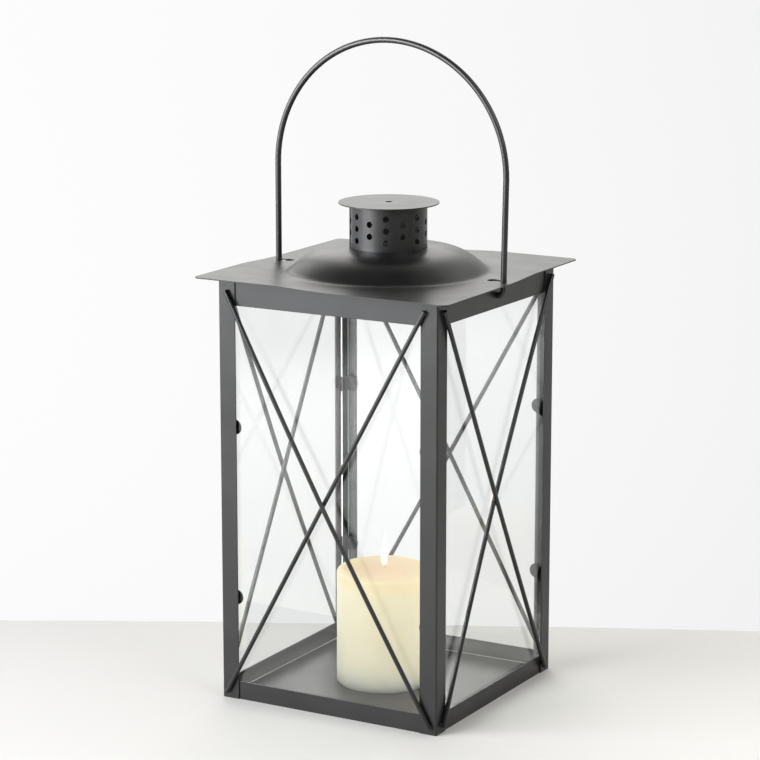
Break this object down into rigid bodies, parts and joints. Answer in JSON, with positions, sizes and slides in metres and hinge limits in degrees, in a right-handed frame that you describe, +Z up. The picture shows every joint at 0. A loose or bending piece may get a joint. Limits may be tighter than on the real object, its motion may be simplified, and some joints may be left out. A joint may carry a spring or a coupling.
{
  "type": "candle lantern",
  "caption": "Square glazed metal candle lantern with crossed wires on each side, a lift-up domed roof with a vented chimney, a wire arch handle and a pillar candle.",
  "frame": {"origin": "on the ground under the middle of the body", "axes": "+Z up, the front face towards -Y, the handle in the XZ plane"},
  "size_m": [0.1964, 0.1964, 0.4606],
  "materials": {
    "painted_sheet": "satin anthracite powder coat",
    "painted_roof": "satin anthracite powder coat",
    "painted_wire": "satin anthracite powder coat on wire",
    "clip_steel": "dark painted spring steel",
    "window_glass": "clear float glass with a faint green edge",
    "candle_wax": "ivory paraffin wax",
    "wick_cotton": "charred braided cotton"
  },
  "bodies": {
    "frame": {"post_front_left": "painted_sheet", "post_front_right": "painted_sheet", "post_back_right": "painted_sheet", "post_back_left": "painted_sheet", "top_rail_front": "painted_sheet", "top_rail_right": "painted_sheet", "top_rail_back": "painted_sheet", "top_rail_left": "painted_sheet", "bottom_rail_front": "painted_sheet", "bottom_rail_right": "painted_sheet", "bottom_rail_back": "painted_sheet", "bottom_rail_left": "painted_sheet", "floor_plate": "painted_sheet", "glass_front": "window_glass", "glass_right": "window_glass", "glass_back": "window_glass", "glass_left": "window_glass", "clip_front_left_lower": "clip_steel", "clip_front_left_upper": "clip_steel", "clip_front_right_lower": "clip_steel", "clip_front_right_upper": "clip_steel", "clip_back_right_lower": "clip_steel", "clip_back_right_upper": "clip_steel", "clip_back_left_lower": "clip_steel", "clip_back_left_upper": "clip_steel", "brace_front_straight": "painted_wire", "brace_front_bowed": "painted_wire", "brace_right_straight": "painted_wire", "brace_right_bowed": "painted_wire", "brace_back_straight": "painted_wire", "brace_back_bowed": "painted_wire", "brace_left_straight": "painted_wire", "brace_left_bowed": "painted_wire"},
    "handle": {"bail": "painted_wire"},
    "roof": {"roof_sheet": "painted_roof", "chimney_collar": "painted_roof", "chimney_cap": "painted_roof"},
    "candle": {"candle": "candle_wax", "wick": "wick_cotton"}
  },
  "joints": [
    {"name": "bail_tip", "type": "hinge", "parent": "frame", "child": "handle", "pos_m": [0, 0, 0.2896], "axis": [-1, 0, 0], "range_deg": [0, 60]},
    {"name": "roof_lift", "type": "slide", "parent": "handle", "child": "roof", "axis": [0, 0, 1], "range_m": [0, 0.1]},
    {"name": "candle_lift", "type": "slide", "parent": "frame", "child": "candle", "axis": [0, 0, 1], "range_m": [0, 0.16]}
  ],
  "couplings": [
    {"joint": "bail_tip", "follows": "roof_lift", "rad_per_m": 10.45}
  ]
}
